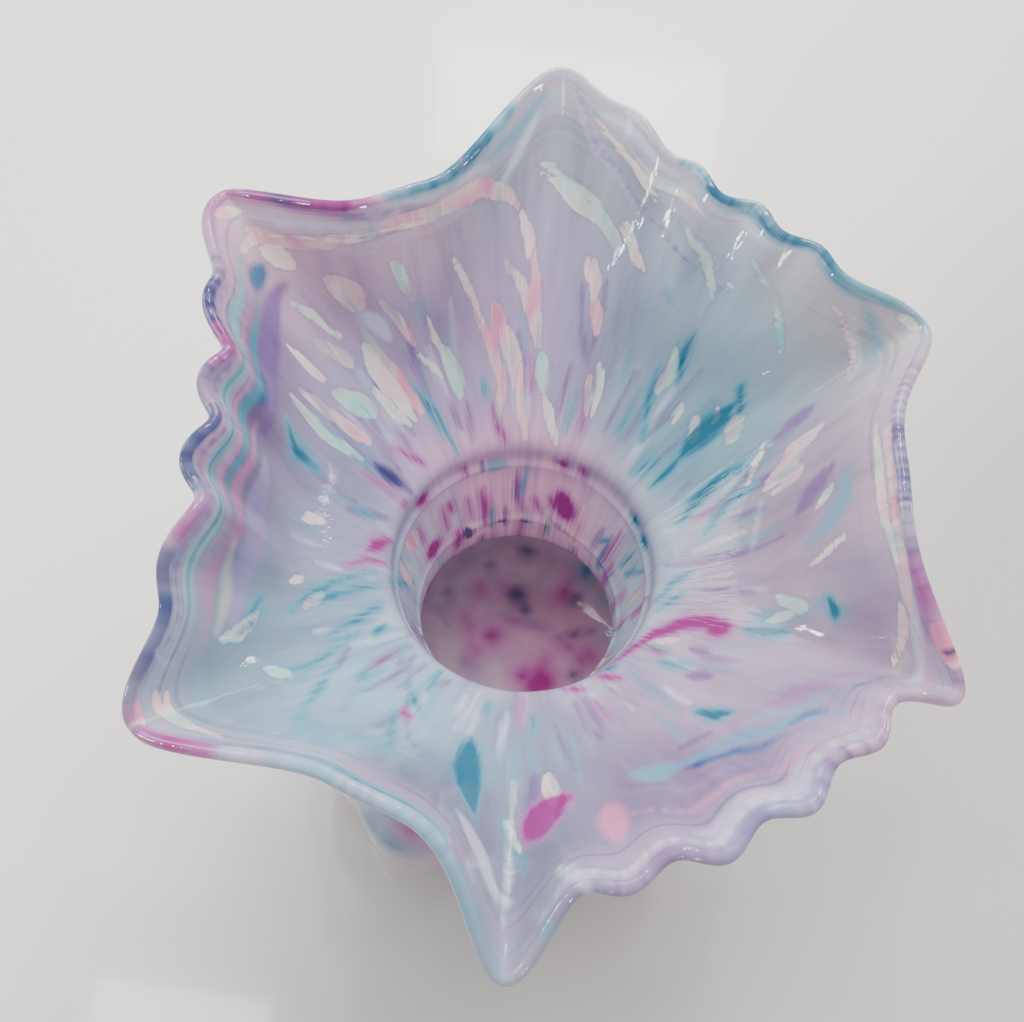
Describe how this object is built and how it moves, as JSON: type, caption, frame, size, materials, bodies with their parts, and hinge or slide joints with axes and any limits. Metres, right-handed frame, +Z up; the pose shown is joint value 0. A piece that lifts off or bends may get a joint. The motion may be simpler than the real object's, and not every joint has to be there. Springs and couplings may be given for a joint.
{
  "type": "art glass vase",
  "caption": "Hand blown vase with a ribbed bulbous body, a waisted neck and a wide bell drawn out into points and crimped, in milky glass with drawn-out coloured chips.",
  "frame": {"origin": "centre of the base pad's underside, on the surface that the vase stands on", "axes": "+Z up along the axis of the neck; +X and +Y are level, and -Z is the way the resting face looks"},
  "size_m": [0.1708, 0.2051, 0.1852],
  "materials": {
    "clear_base": "clear fire-polished glass, ground and polished underneath",
    "clear_gather": "clear glossy glass with a few seed bubbles",
    "opal": "milky lilac-white opal glass, torn into streaks",
    "lustred_casing": "clear glossy glass with a pink, cream and mint lustre",
    "teal_frit": "transparent teal glass chips, drawn out",
    "magenta_frit": "transparent magenta glass chips, drawn out",
    "cobalt_frit": "dark cobalt glass chips, drawn out"
  },
  "bodies": {
    "root": {"base_pad": "clear_base", "inner_gather": "clear_gather", "opal_overlay": "opal", "outer_casing": "lustred_casing", "teal_frit_bell": "teal_frit", "magenta_frit_bell": "magenta_frit", "cobalt_frit_bell": "cobalt_frit", "teal_frit_neck": "teal_frit", "magenta_frit_neck": "magenta_frit", "teal_frit_body": "teal_frit", "magenta_frit_body": "magenta_frit", "cobalt_frit_body": "cobalt_frit"}
  },
  "joints": []
}
